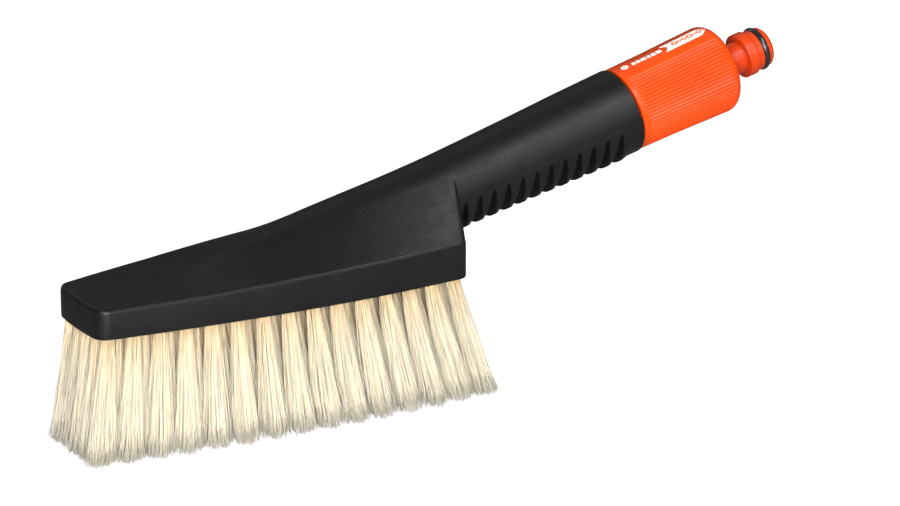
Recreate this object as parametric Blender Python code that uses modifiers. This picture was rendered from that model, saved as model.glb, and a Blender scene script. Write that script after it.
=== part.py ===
"""Water-fed hand wash brush: a black hollow head and handle, cream bristle tufts, an orange
flow-control sleeve and a quick-connect hose nipple. Metres, +Z up. The brush stands on its
bristle tips, +X runs from the nose to the hose end, and y = 0 is the plane of symmetry."""

import math

import bmesh
import bpy
from mathutils import Matrix, Vector

MM = 0.001
GAP = 0.3 * MM                      # clearance between neighbouring pieces

# Overall places
ORIGIN_X = 144.4920 * MM            # from the nose to the middle of the overall length
BRISTLE_LENGTH = 48.0 * MM          # from the head's underside to the tips
HEAD_LENGTH = 145.8 * MM
HALF_WIDTHS = [16.6 * MM, 22.2 * MM, 26.5 * MM, 28.7 * MM, 28.4 * MM]   # evenly along the head
CORNER_RADIUS = 4.2 * MM            # upright corners of the head, seen from above
NOSE_BOW = 1.0 * MM                 # how far the nose stands proud of its own corners
WALL_NOSE = 11.4 * MM               # height of the side wall at the nose
WALL_REAR = 13.8 * MM               # and at the rear
CREASE_RADIUS = 1.8 * MM            # round along the top of the side wall
REAR_TILT = 0.29                    # how far the rear face leans back above the side wall
TILT_START = 0.7                    # share of the length where that lean begins

# Handle axis: slopes up from the head to the hose end
AXIS_HEIGHT = 22.5 * MM             # above the head's underside, at the head's rear
AXIS_SLOPE = math.radians(13.07)
ROOT_RADIUS = 14.7 * MM             # handle radius at the head's rear
END_RADIUS = 16.5 * MM              # handle radius where the sleeve starts
HANDLE_LENGTH = 84.0 * MM           # along the axis, from the head's rear to the sleeve
GRIP_TAB = 0.7 * MM                 # how far the lower shell runs past the upper one
SHELL_WALL = 2.4 * MM
PARTING_HEIGHT = 2.0 * MM           # parting plane of the two shells, above the axis

# Grip slots in the lower shell
SLOT_COUNT = 12
SLOT_PITCH = 6.2 * MM
SLOT_WIDTH = 3.8 * MM               # along the handle, under its middle
SLOT_DEPTH = 1.9 * MM               # at the wall nearer the hose end
SLOT_SHALLOW = 0.6 * MM             # at the other side
FIRST_WALL = 5.6 * MM               # first slot's wall nearer the hose end, from the head's rear
SLOT_REACH = math.radians(87.0)     # how far a slot runs up each side, from the lowest line
SLOT_TAPER = math.radians(40.0)     # the stretch over which its end widens

# Underside
PLATE_INSET = 2.7 * MM              # from the head's outline to the plate's edge
PLATE_THICKNESS = 5.0 * MM
SEAL_SIZE = 1.6 * MM
WATER_HOLES = 6
WATER_HOLE_RADIUS = 1.5 * MM

# Tufts
ROWS = 15
FIRST_ROW = 5.4 * MM
ROW_PITCH = 9.65 * MM
TUFT_EDGE_INSET = 3.8 * MM          # from the head's outline to the outer tufts' centres
TUFT_ROOT_RADIUS = 2.6 * MM
TUFT_TIP_RADIUS = 5.1 * MM
NOSE_LEAN = -4.7 * MM               # the tufts fan out: tip from root along X, at the nose
REAR_LEAN = 13.2 * MM               # and at the rear
SIDE_SPLAY = 1.0 * MM
NARROW_EDGE = 16.0 * MM            # a row that reaches less to each side holds three tufts, not five

# Water path inside the handle
CHAMBER_RADIUS = 6.2 * MM
CHAMBER_WALL = 1.5 * MM
CHAMBER_START = -12.0 * MM
CHAMBER_END = 80.0 * MM
STICK_RADIUS = 4.5 * MM
STICK_LENGTH = 58.0 * MM
STRAINER_THICKNESS = 1.6 * MM

# Hose end, along the axis from the head's rear
SLEEVE_START = HANDLE_LENGTH + 1.3 * MM
SLEEVE_END = 129.4 * MM
SLEEVE_RADIUS_START = 16.2 * MM
SLEEVE_RADIUS_END = 17.2 * MM
SLEEVE_WALL = 3.0 * MM
SLEEVE_ROUND = 4.5 * MM
FLUTES = 32
FLUTE_DEPTH = 0.45 * MM
NECK_RADIUS = 6.3 * MM
COLLAR_RADIUS = 8.6 * MM
BARREL_RADIUS = 7.9 * MM
NIPPLE_BORE = 4.7 * MM
COLLAR_START = 138.3 * MM
COLLAR_END = 142.2 * MM
RING_START = 145.0 * MM
RING_END = 147.5 * MM
NIPPLE_END = 150.0 * MM
RING_RADIUS = 8.5 * MM

ROUND_STEPS = 28


def clear_scene():
    """Remove every object and collection of the start-up scene."""
    for old in list(bpy.data.objects):
        bpy.data.objects.remove(old, do_unlink=True)
    for old in list(bpy.data.collections):
        bpy.data.collections.remove(old)


def collection(name):
    made = bpy.data.collections.new(name)
    bpy.context.scene.collection.children.link(made)
    return made


def material(name, colour, roughness, metallic=0.0):
    made = bpy.data.materials.new(name)
    made.use_nodes = True
    shader = made.node_tree.nodes["Principled BSDF"]
    shader.inputs["Base Color"].default_value = (*colour, 1.0)
    shader.inputs["Roughness"].default_value = roughness
    shader.inputs["Metallic"].default_value = metallic
    return made


def new_object(name, mesh, group, paint=None, parent=None):
    made = bpy.data.objects.new(name, mesh)
    group.objects.link(made)
    if paint:
        mesh.materials.append(paint)
    made.parent = parent
    return made


def smooth(obj, degrees=35.0):
    obj.data.shade_smooth()
    obj.data.set_sharp_from_angle(angle=math.radians(degrees))


def boolean(obj, other, operation="DIFFERENCE"):
    modifier = obj.modifiers.new(f"{operation.lower()}_{other.name}", "BOOLEAN")
    modifier.operation = operation
    modifier.solver = "EXACT"
    modifier.object = other
    return modifier


def as_cutter(obj):
    obj.hide_render = True
    obj.display_type = "WIRE"
    return obj


# ---------------------------------------------------------------- head shape

def half_width(x):
    """Half the head's width at x, a smooth curve through HALF_WIDTHS, without corner rounding."""
    spans = len(HALF_WIDTHS) - 1
    place = min(max(x / HEAD_LENGTH, 0.0), 1.0) * spans
    index = min(int(place), spans - 1)
    t = place - index
    before = HALF_WIDTHS[max(index - 1, 0)]
    start = HALF_WIDTHS[index]
    end = HALF_WIDTHS[index + 1]
    after = HALF_WIDTHS[min(index + 2, spans)]
    if index == 0:
        before = 2 * start - end
    return 0.5 * (2 * start + (end - before) * t + (2 * before - 5 * start + 4 * end - after) * t * t
                  + (3 * start - before - 3 * end + after) * t ** 3)


def corner_loss(distance, radius):
    """How much an outline loses at this distance from an end with rounded corners."""
    if distance >= radius:
        return 0.0
    return radius - math.sqrt(max(radius ** 2 - (radius - distance) ** 2, 0.0))


def nose_bow(x, y, start):
    """How far a point near the nose sits back from the nose's middle."""
    return NOSE_BOW * (y / half_width(0.0)) ** 2 * max(1.0 - (x - start) / (20 * MM), 0.0)


def wall_height(x):
    return WALL_NOSE + (WALL_REAR - WALL_NOSE) * x / HEAD_LENGTH


def rear_tilt(x, z):
    """How far a point above the side wall leans back, growing from nothing to the rear face."""
    above = max(z - wall_height(x), 0.0)
    return REAR_TILT * above * max((x / HEAD_LENGTH - TILT_START) / (1.0 - TILT_START), 0.0)


def head_stations(inset):
    """Stations along the head, close together at both rounded ends."""
    start = inset
    end = HEAD_LENGTH - inset
    near = [0.0, 0.06, 0.25, 0.6, 1.0]
    radius = CORNER_RADIUS - min(inset, CORNER_RADIUS * 0.5)
    stations = [start + radius * t for t in near]
    steps = 14
    middle_start = start + radius
    middle_end = end - radius
    stations += [middle_start + (middle_end - middle_start) * i / steps for i in range(1, steps)]
    stations += [end - radius * t for t in reversed(near)]
    return stations, start, end, radius


def head_section(x, start, end, radius, inset, floor):
    """Outline of the head across x: a flat floor, side walls, and flanks that lie against the
    handle's circle. Points run from the floor's middle round the +Y side and back."""
    loss = max(corner_loss(x - start, radius), corner_loss(end - x, radius))
    width = half_width(x) - inset - loss
    top_loss = 0.55 * corner_loss(x - start, CREASE_RADIUS)
    height = wall_height(x) - inset - top_loss
    behind = (x - HEAD_LENGTH) * math.tan(AXIS_SLOPE)
    centre = AXIS_HEIGHT + behind
    circle = (ROOT_RADIUS - inset) / math.cos(AXIS_SLOPE)
    reach = math.hypot(width, height - centre)
    slope = math.asin(min(circle / reach, 0.999)) - math.atan2(height - centre, width)
    slope = max(slope, math.radians(1.2))
    fillet = max(CREASE_RADIUS - 0.5 * inset, 0.6 * MM)
    turn = math.pi / 2 - slope
    drop = fillet * math.tan(turn / 2)
    points = [(0.0, floor), (width, floor)]
    for i in range(5):
        angle = turn * i / 4
        points.append((width - fillet + fillet * math.cos(angle), height - drop + fillet * math.sin(angle)))
    touch_y = circle * math.sin(slope)
    line_y = width - fillet + fillet * math.cos(turn)
    line_z = height - drop + fillet * math.sin(turn)
    touch_y = min(touch_y, 0.7 * line_y)
    touch_z = line_z + (line_y - touch_y) * math.tan(slope)
    crown = touch_y * math.tan(slope / 2)
    for i in range(1, 4):
        t = i / 4
        points.append((line_y + (touch_y - line_y) * t, line_z + (touch_z - line_z) * t))
    arc_radius = touch_y / math.sin(slope)
    for i in range(6):
        angle = slope * (1 - i / 6)
        points.append((arc_radius * math.sin(angle), touch_z + crown - arc_radius * (1 - math.cos(angle))))
    points.append((0.0, touch_z + crown))
    mirrored = [(-y, z) for y, z in reversed(points[1:-1])]
    return points + mirrored


def head_loft(name, group, inset, floor):
    """Closed solid of the head, moved in by inset from the outer surface."""
    work = bmesh.new()
    rings = []
    stations, start, end, radius = head_stations(inset)
    for x in stations:
        ring = []
        for y, z in head_section(x, start, end, radius, inset, floor):
            ring.append(work.verts.new((x + nose_bow(x, y, start) + rear_tilt(x, z), y, z)))
        rings.append(ring)
    count = len(rings[0])
    for first, second in zip(rings, rings[1:]):
        for i in range(count):
            j = (i + 1) % count
            work.faces.new((first[i], first[j], second[j], second[i]))
    work.faces.new(list(reversed(rings[0])))
    work.faces.new(rings[-1])
    bmesh.ops.recalc_face_normals(work, faces=work.faces)
    mesh = bpy.data.meshes.new(name)
    work.to_mesh(mesh)
    work.free()
    made = new_object(name, mesh, group)
    made.location = HEAD_PLACE
    return made


# ---------------------------------------------------------------- turned and plain shapes

def turned(name, profile, group, paint, parent, steps=ROUND_STEPS):
    """A closed profile of (radius, distance along the axis) turned about the handle axis.
    The profile's outer side runs from the hose end to the head."""
    mesh = bpy.data.meshes.new(name)
    count = len(profile)
    closed = min(r for r, _ in profile) > 0.0
    edges = [(i, i + 1) for i in range(count - 1)]
    if closed:
        edges.append((count - 1, 0))
    mesh.from_pydata([(r, 0.0, s) for r, s in profile], edges, [])
    made = new_object(name, mesh, group, paint, parent)
    modifier = made.modifiers.new("turn", "SCREW")
    modifier.steps = steps
    modifier.render_steps = steps
    modifier.use_merge_vertices = True
    modifier.merge_threshold = 0.00001
    modifier.use_smooth_shade = True
    return made


def tube(name, inner, outer, start, end, group, paint, parent, steps=ROUND_STEPS):
    profile = [(outer, end), (outer, start), (inner, start), (inner, end)]
    return turned(name, profile, group, paint, parent, steps)


def ring_profile(middle, place, thickness, sides=8):
    """Round section of an O-ring, run so that its outer side goes towards the head."""
    points = []
    for i in range(sides):
        angle = math.pi / 2 - 2 * math.pi * i / sides
        points.append((middle + thickness * math.cos(angle), place + thickness * math.sin(angle)))
    return points


def box(name, size, centre, group, parent=None, turn=None):
    work = bmesh.new()
    bmesh.ops.create_cube(work, size=1.0)
    bmesh.ops.scale(work, vec=size, verts=work.verts)
    if turn:
        bmesh.ops.rotate(work, matrix=turn, verts=work.verts)
    bmesh.ops.translate(work, vec=centre, verts=work.verts)
    mesh = bpy.data.meshes.new(name)
    work.to_mesh(mesh)
    work.free()
    return new_object(name, mesh, group, None, parent)


def cylinder(name, radius, depth, centre, group, parent=None, sides=12):
    work = bmesh.new()
    bmesh.ops.create_cone(work, cap_ends=True, segments=sides, radius1=radius, radius2=radius, depth=depth)
    bmesh.ops.translate(work, vec=centre, verts=work.verts)
    mesh = bpy.data.meshes.new(name)
    work.to_mesh(mesh)
    work.free()
    return new_object(name, mesh, group, None, parent)


def handle_radius(s):
    """Outer radius of the handle: even along the head, then growing to the sleeve."""
    t = max(s, 0.0) / HANDLE_LENGTH
    return ROOT_RADIUS + (END_RADIUS - ROOT_RADIUS) * t


def handle_profile(start, end, inset):
    """Open profile of the solid handle, moved in by inset, closed on the axis at both ends."""
    stations = [end, end * 0.66 + start * 0.34, end * 0.33 + start * 0.67, start]
    points = [(0.0, end)]
    points += [(handle_radius(s) - inset, s) for s in stations]
    points.append((0.0, start))
    return points


# ---------------------------------------------------------------- the pieces

def make_body_shell(parts, cutters, paint, axis):
    shell = head_loft("body_shell", parts, 0.0, 0.0)
    shell.data.materials.append(paint)
    upper = as_cutter(turned(
        "handle_outside", handle_profile(-30 * MM, HANDLE_LENGTH, 0.0), cutters, None, axis))
    low_half = as_cutter(box(
        "below_parting", (40 * MM, 60 * MM, 140 * MM),
        (20 * MM - PARTING_HEIGHT, 0.0, 62 * MM), cutters, axis))
    boolean(upper, low_half)
    inside = as_cutter(head_loft("head_inside", cutters, SHELL_WALL, -2 * MM))
    bore = as_cutter(turned(
        "handle_inside", handle_profile(-20 * MM, HANDLE_LENGTH + 4 * MM, SHELL_WALL), cutters, None, axis))
    boolean(shell, upper, "UNION")
    boolean(shell, inside)
    boolean(shell, bore)
    smooth(shell)


def make_grip_shell(parts, cutters, paint, axis):
    inner = ROOT_RADIUS - SHELL_WALL
    rise = (END_RADIUS - ROOT_RADIUS)
    start = -4 * MM
    end = HANDLE_LENGTH + GRIP_TAB
    profile = [
        (END_RADIUS, end),
        (ROOT_RADIUS, 0.0),
        (ROOT_RADIUS, start),
        (inner, start),
        (inner, 0.0),
        (inner + rise, end),
    ]
    shell = turned("grip_shell", profile, parts, paint, axis, steps=40)
    top_half = as_cutter(box(
        "above_parting", (40 * MM, 60 * MM, 140 * MM),
        (-20 * MM - PARTING_HEIGHT + GAP, 0.0, 40 * MM), cutters, axis))
    boolean(shell, top_half)
    boolean(shell, as_cutter(head_loft("head_clearance", cutters, -GAP, -2 * MM)))
    slots = make_grip_slots(cutters, axis)
    boolean(shell, slots)
    smooth(shell)
    return shell


def make_grip_slots(cutters, axis):
    """Slots round the underside. Each has an upright wall on the side of the hose end, slopes out
    to nothing towards the head, and narrows to a point up both sides of the handle."""
    work = bmesh.new()
    steps = 18
    for index in range(SLOT_COUNT):
        wall = FIRST_WALL + SLOT_PITCH * index
        surface = handle_radius(wall)
        rings = []
        for i in range(steps + 1):
            angle = SLOT_REACH * (2 * i / steps - 1)
            left = SLOT_REACH - abs(angle)
            width = max(SLOT_WIDTH * min(left / SLOT_TAPER, 1.0) ** 0.6, 0.1 * MM)
            fade = min(0.1 + left / math.radians(12.0), 1.0)
            outer = surface + 1.0 * MM
            deep = surface - SLOT_DEPTH * fade
            shallow = surface - SLOT_SHALLOW * fade
            section = [(shallow, wall - width), (outer, wall - width), (outer, wall), (deep, wall)]
            rings.append([
                work.verts.new((radius * math.cos(angle), radius * math.sin(angle), place))
                for radius, place in section])
        for first, second in zip(rings, rings[1:]):
            for i in range(4):
                j = (i + 1) % 4
                work.faces.new((first[i], first[j], second[j], second[i]))
        work.faces.new(list(reversed(rings[0])))
        work.faces.new(rings[-1])
    bmesh.ops.recalc_face_normals(work, faces=work.faces)
    mesh = bpy.data.meshes.new("grip_slots")
    work.to_mesh(mesh)
    work.free()
    return as_cutter(new_object("grip_slots", mesh, cutters, None, axis))


def plan_outline(inset):
    """Points of the head's outline from above, moved in by inset, running round once."""
    stations, start, end, radius = head_stations(inset)
    side = []
    for x in stations:
        loss = max(corner_loss(x - start, radius), corner_loss(end - x, radius))
        width = half_width(x) - inset - loss
        side.append((x + nose_bow(x, width, start), width))
    return side + [(x, -y) for x, y in reversed(side)]


def slab(name, inset, low, high, group, paint):
    """Flat plate of the head's outline between two heights."""
    work = bmesh.new()
    bottom = [work.verts.new((x, y, low)) for x, y in plan_outline(inset)]
    face = work.faces.new(bottom)
    grown = bmesh.ops.extrude_face_region(work, geom=[face])
    moved = [v for v in grown["geom"] if isinstance(v, bmesh.types.BMVert)]
    bmesh.ops.translate(work, vec=(0.0, 0.0, high - low), verts=moved)
    bmesh.ops.recalc_face_normals(work, faces=work.faces)
    mesh = bpy.data.meshes.new(name)
    work.to_mesh(mesh)
    work.free()
    made = new_object(name, mesh, group, paint)
    made.location = HEAD_PLACE
    return made


def make_plate(parts, cutters, plate_paint, seal_paint):
    plate = slab("bristle_plate", PLATE_INSET, 0.0, PLATE_THICKNESS, parts, plate_paint)
    spacing = HEAD_LENGTH / (WATER_HOLES + 1)
    for index in range(WATER_HOLES):
        hole = as_cutter(cylinder(
            f"water_hole_{index + 1}", WATER_HOLE_RADIUS, 20 * MM,
            (spacing * (index + 1), 0.0, 0.0), cutters))
        hole.location = HEAD_PLACE
        boolean(plate, hole)
    top = PLATE_THICKNESS + GAP
    seal = slab("plate_seal", PLATE_INSET + 0.1 * MM, top, top + SEAL_SIZE, parts, seal_paint)
    middle = as_cutter(slab(
        "seal_middle", PLATE_INSET + SEAL_SIZE, top - 2 * MM, top + SEAL_SIZE + 2 * MM, cutters, None))
    boolean(seal, middle)


def tuft_lean(x):
    """How far a tuft's tip stands from its root along X: the rows fan out evenly."""
    return NOSE_LEAN + (REAR_LEAN - NOSE_LEAN) * (x - FIRST_ROW) / (ROW_PITCH * (ROWS - 1))


def tuft(work, root, tip, widen, spread):
    """One flaring tuft from root to tip, eight-sided, wider across the row at its tip."""
    sides = 8
    flat = math.cos(math.pi / sides)
    rings = []
    for centre, along, across in ((root, TUFT_ROOT_RADIUS, TUFT_ROOT_RADIUS),
                                  (root.lerp(tip, 0.55), 0.82 * widen / flat, 0.9 * spread / flat),
                                  (tip, widen / flat, spread / flat)):
        ring = []
        for i in range(sides):
            angle = 2 * math.pi * (i + 0.5) / sides
            ring.append(work.verts.new(
                centre + Vector((along * math.cos(angle), across * math.sin(angle), 0.0))))
        rings.append(ring)
    for first, second in zip(rings, rings[1:]):
        for i in range(sides):
            j = (i + 1) % sides
            work.faces.new((first[i], first[j], second[j], second[i]))
    work.faces.new(list(reversed(rings[0])))
    work.faces.new(rings[-1])


def make_tuft_row(index, parts, paint):
    """One row of tufts across the head, touching each other towards their tips."""
    x = FIRST_ROW + ROW_PITCH * index
    edge = half_width(x) - TUFT_EDGE_INSET
    count = 3 if edge < NARROW_EDGE else 5
    spacing = 2 * edge / (count - 1)
    work_objects = []
    tip_pitch = ROW_PITCH + (REAR_LEAN - NOSE_LEAN) / (ROWS - 1)
    widen = min(TUFT_TIP_RADIUS, 0.5 * tip_pitch - GAP)
    spread = 0.5 * (spacing + 2 * SIDE_SPLAY / (count - 1)) + 0.5 * MM
    for place in range(count):
        y = -edge + spacing * place
        root = Vector((x, y, -GAP))
        tip = Vector((x + tuft_lean(x), y * (1.0 + SIDE_SPLAY / edge), -BRISTLE_LENGTH))
        work = bmesh.new()
        tuft(work, root, tip, widen, spread)
        bmesh.ops.recalc_face_normals(work, faces=work.faces)
        mesh = bpy.data.meshes.new(f"tuft_{index + 1}_{place + 1}")
        work.to_mesh(mesh)
        work.free()
        work_objects.append(mesh)
    row = new_object(f"tuft_row_{index + 1:02d}", work_objects[0], parts, paint)
    row.location = HEAD_PLACE
    for place, mesh in enumerate(work_objects[1:]):
        other = as_cutter(new_object(f"joined_tuft_{index + 1}_{place + 2}", mesh, CUTTERS))
        other.location = HEAD_PLACE
        boolean(row, other, "UNION")
    smooth(row)


def make_chamber(parts, plastic, stick_paint, steel, axis):
    tube("stick_chamber", CHAMBER_RADIUS, CHAMBER_RADIUS + CHAMBER_WALL, CHAMBER_START, CHAMBER_END,
         parts, plastic, axis)
    strainer_end = CHAMBER_START - GAP
    strainer = [
        (CHAMBER_RADIUS + CHAMBER_WALL, strainer_end),
        (CHAMBER_RADIUS + CHAMBER_WALL, strainer_end - STRAINER_THICKNESS),
        (1.5 * MM, strainer_end - STRAINER_THICKNESS),
        (1.5 * MM, strainer_end),
    ]
    turned("chamber_strainer", strainer, parts, steel, axis)
    low = CHAMBER_START + GAP
    edge = 0.8 * MM
    stick = [
        (0.0, low + STICK_LENGTH),
        (STICK_RADIUS - edge, low + STICK_LENGTH),
        (STICK_RADIUS, low + STICK_LENGTH - edge),
        (STICK_RADIUS, low + edge),
        (STICK_RADIUS - edge, low),
        (0.0, low),
    ]
    turned("shampoo_stick", stick, parts, stick_paint, axis, steps=20)


def make_connector(parts, orange, rubber, white, axis):
    """Hose connector: spigot in the chamber, flange on the handle, stem through the sleeve, nipple."""
    spigot = CHAMBER_RADIUS - GAP
    groove = spigot - 1.2 * MM
    stem = 9.6 * MM
    flange_start = CHAMBER_END + GAP
    flange_end = HANDLE_LENGTH + 1.0 * MM
    shoulder = SLEEVE_END - 7.5 * MM
    profile = [
        (BARREL_RADIUS - 1.4 * MM, NIPPLE_END),
        (BARREL_RADIUS - 0.3 * MM, NIPPLE_END - 1.1 * MM),
        (BARREL_RADIUS - 0.1 * MM, RING_END),
        (BARREL_RADIUS - 1.7 * MM, RING_END),
        (BARREL_RADIUS - 1.7 * MM, RING_START),
        (BARREL_RADIUS, RING_START),
        (BARREL_RADIUS, COLLAR_END + 0.6 * MM),
        (COLLAR_RADIUS, COLLAR_END),
        (COLLAR_RADIUS, COLLAR_START),
        (NECK_RADIUS, COLLAR_START),
        (NECK_RADIUS, SLEEVE_END - 2 * MM),
        (stem - 1.4 * MM, SLEEVE_END - 2 * MM),
        (stem - 1.4 * MM, shoulder),
        (stem, shoulder),
        (stem, flange_end),
        (11.4 * MM, flange_end),
        (11.4 * MM, flange_start),
        (spigot, flange_start),
        (spigot, 76.5 * MM),
        (groove, 76.5 * MM),
        (groove, 74.0 * MM),
        (spigot, 74.0 * MM),
        (spigot, 72.0 * MM),
        (3.6 * MM, 72.0 * MM),
        (3.6 * MM, 92.0 * MM),
        (NIPPLE_BORE, 93.0 * MM),
        (NIPPLE_BORE, NIPPLE_END),
    ]
    turned("hose_connector", profile, parts, orange, axis)
    middle = 0.5 * (groove + GAP + spigot + 0.1 * MM)
    turned("spigot_o_ring", ring_profile(middle, 75.25 * MM, 0.5 * (spigot - groove) - 0.12 * MM),
           parts, rubber, axis, steps=24)
    ring_middle = BARREL_RADIUS - 1.7 * MM + GAP * 0.5 + 1.1 * MM
    turned("nipple_o_ring", ring_profile(ring_middle, 0.5 * (RING_START + RING_END), 1.1 * MM, 12),
           parts, rubber, axis)
    clip_start = shoulder + 3.0 * MM
    tube("sleeve_retaining_ring", stem - 1.4 * MM + GAP, stem + 1.6 * MM, clip_start, clip_start + 1.4 * MM,
         parts, white, axis)


def make_valve(parts, white, rubber, axis):
    """Piston in the connector's bore; it slides towards the narrow seat as the sleeve turns."""
    head = NIPPLE_BORE - GAP
    piston = [
        (head, 112.0 * MM),
        (head, 106.0 * MM),
        (head - 1.2 * MM, 106.0 * MM),
        (head - 1.2 * MM, 104.0 * MM),
        (head, 104.0 * MM),
        (head, 102.0 * MM),
        (2.2 * MM, 99.0 * MM),
        (1.2 * MM, 99.0 * MM),
        (1.2 * MM, 112.0 * MM),
    ]
    turned("valve_piston", piston, parts, white, axis, steps=24)
    seal = ring_profile(head - 0.55 * MM, 105.0 * MM, 0.42 * MM)
    turned("piston_seal", seal, parts, rubber, axis, steps=24)


def make_sleeve(parts, cutters, orange, axis):
    """Fluted sleeve: a turned shell with even grooves along it, except a plain band at each end."""
    inner = SLEEVE_RADIUS_START - SLEEVE_WALL
    profile = []
    for i in range(5):
        angle = 0.5 * math.pi * (1 - i / 4)
        profile.append((
            SLEEVE_RADIUS_END - SLEEVE_ROUND + SLEEVE_ROUND * math.cos(angle),
            SLEEVE_END - SLEEVE_ROUND + SLEEVE_ROUND * math.sin(angle)))
    profile += [
        (SLEEVE_RADIUS_START + 0.3 * MM, SLEEVE_START + 18 * MM),
        (SLEEVE_RADIUS_START, SLEEVE_START),
        (inner, SLEEVE_START),
        (inner, SLEEVE_END - 2.6 * MM),
        (8.6 * MM, SLEEVE_END - 2.6 * MM),
        (8.6 * MM, SLEEVE_END),
    ]
    sleeve = turned("control_sleeve", profile, parts, orange, axis, steps=2 * FLUTES)
    work = bmesh.new()
    half = math.pi / FLUTES * 0.5
    low = SLEEVE_START + 4 * MM
    high = SLEEVE_END - SLEEVE_ROUND
    for index in range(FLUTES):
        angle = 2 * math.pi * (index + 0.25) / FLUTES
        rings = []
        for place, radius in ((low, SLEEVE_RADIUS_START), (high, SLEEVE_RADIUS_END)):
            outside = radius + 1 * MM
            corners = [(radius - FLUTE_DEPTH, angle), (outside, angle - half), (outside, angle + half)]
            rings.append([
                work.verts.new((reach * math.cos(turn), reach * math.sin(turn), place))
                for reach, turn in corners])
        for i in range(3):
            j = (i + 1) % 3
            work.faces.new((rings[0][i], rings[0][j], rings[1][j], rings[1][i]))
        work.faces.new(list(reversed(rings[0])))
        work.faces.new(rings[1])
    bmesh.ops.recalc_face_normals(work, faces=work.faces)
    mesh = bpy.data.meshes.new("flute_grooves")
    work.to_mesh(mesh)
    work.free()
    boolean(sleeve, as_cutter(new_object("flute_grooves", mesh, cutters, None, axis)))


clear_scene()
PARTS = collection("wash_brush")
CUTTERS = collection("cutters")
HEAD_PLACE = Vector((-ORIGIN_X, 0.0, BRISTLE_LENGTH))

black = material("black_plastic", (0.012, 0.012, 0.013), 0.38)
grip_black = material("grip_plastic", (0.010, 0.010, 0.011), 0.5)
plate_black = material("plate_plastic", (0.03, 0.03, 0.03), 0.6)
cream = material("bristle", (0.86, 0.80, 0.66), 0.55)
orange = material("orange_plastic", (0.87, 0.10, 0.012), 0.35)
natural = material("natural_plastic", (0.75, 0.75, 0.72), 0.4)
rubber = material("seal_rubber", (0.01, 0.01, 0.01), 0.45)
steel = material("strainer_steel", (0.6, 0.6, 0.62), 0.3, 1.0)
soap = material("shampoo_soap", (0.85, 0.14, 0.03), 0.7)

axis = bpy.data.objects.new("handle_axis", None)
PARTS.objects.link(axis)
axis.matrix_world = (Matrix.Translation(HEAD_PLACE + Vector((HEAD_LENGTH, 0.0, AXIS_HEIGHT)))
                     @ Matrix.Rotation(math.pi / 2 - AXIS_SLOPE, 4, "Y"))

make_body_shell(PARTS, CUTTERS, black, axis)
make_grip_shell(PARTS, CUTTERS, grip_black, axis)
make_plate(PARTS, CUTTERS, plate_black, rubber)
for row_index in range(ROWS):
    make_tuft_row(row_index, PARTS, cream)
make_chamber(PARTS, natural, soap, steel, axis)
make_connector(PARTS, orange, rubber, natural, axis)
make_valve(PARTS, natural, rubber, axis)
make_sleeve(PARTS, CUTTERS, orange, axis)
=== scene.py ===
"""Looks of the wash brush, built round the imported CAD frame. Metres, +Z up. The brush stands on
its bristle tips, +X runs from the nose to the hose end, and y = 0 is the plane of symmetry."""

import math

import bmesh
import bpy
import numpy as np
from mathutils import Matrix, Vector


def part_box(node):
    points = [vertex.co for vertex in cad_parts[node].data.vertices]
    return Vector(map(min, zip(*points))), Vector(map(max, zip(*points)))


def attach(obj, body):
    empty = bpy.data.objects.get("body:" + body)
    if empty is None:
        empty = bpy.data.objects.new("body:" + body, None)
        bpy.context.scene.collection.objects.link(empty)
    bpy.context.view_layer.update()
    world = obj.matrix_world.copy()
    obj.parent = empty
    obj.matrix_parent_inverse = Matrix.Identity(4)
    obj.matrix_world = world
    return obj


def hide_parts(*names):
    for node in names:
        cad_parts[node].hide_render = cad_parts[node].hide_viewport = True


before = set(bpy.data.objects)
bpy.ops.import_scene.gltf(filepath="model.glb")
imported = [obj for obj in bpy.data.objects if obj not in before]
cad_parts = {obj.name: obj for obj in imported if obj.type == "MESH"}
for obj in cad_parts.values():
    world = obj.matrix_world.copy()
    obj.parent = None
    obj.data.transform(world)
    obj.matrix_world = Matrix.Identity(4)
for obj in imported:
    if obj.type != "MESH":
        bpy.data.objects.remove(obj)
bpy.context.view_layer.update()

MM = 0.001

# ---------------------------------------------------------------- driving dimensions

# Head, as in the CAD part: length, half-widths, side wall, bow of the nose and lean of the rear
HEAD_LENGTH = 145.8 * MM
HALF_WIDTHS = [16.6 * MM, 22.2 * MM, 26.5 * MM, 28.7 * MM, 28.4 * MM]   # evenly along the head
CORNER_RADIUS = 4.2 * MM
NOSE_BOW = 1.0 * MM
WALL_NOSE = 11.4 * MM
WALL_REAR = 13.8 * MM
CREASE_RADIUS = 1.8 * MM
REAR_TILT = 0.29
TILT_START = 0.7

# Head, details of its edges and its crown, and of the handle's root under the crown
NOSE_ROUND = 1.8 * MM               # round between the top and the nose face
REAR_ROUND = 2.6 * MM               # round between the flanks and the rear face
FOOT_ROUND = 0.7 * MM               # round along the lower edge
LEAST_SLOPE = math.radians(1.2)     # of the flanks, where the head is flattest
CROWN_SWELL = 1.1 * MM              # how far the head's crown rises above a straight line
SWELL_START = 0.2                   # shares of the head's length
SWELL_RUN = 0.75
SINK = 0.4 * MM                     # how far the handle's root lies under the crown
SINK_END = 4.0 * MM                 # the crown lies on the handle as far as this
SINK_RUN = 3.0 * MM

# Handle. The waist and the narrow parting gap are only here, and the rest is as in the CAD part
AXIS_HEIGHT = 22.5 * MM
AXIS_SLOPE = math.radians(13.07)
ROOT_RADIUS = 14.7 * MM
END_RADIUS = 16.5 * MM
HANDLE_LENGTH = 84.0 * MM
GRIP_TAB = 0.7 * MM
SHELL_WALL = 2.4 * MM
WAIST = 0.35 * MM                   # how much the handle narrows near the head
WAIST_PLACE = 12.0 * MM
WAIST_REACH = 50.0 * MM
PARTING_HEIGHT = 2.0 * MM
PARTING_GAP = 0.06 * MM

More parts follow.
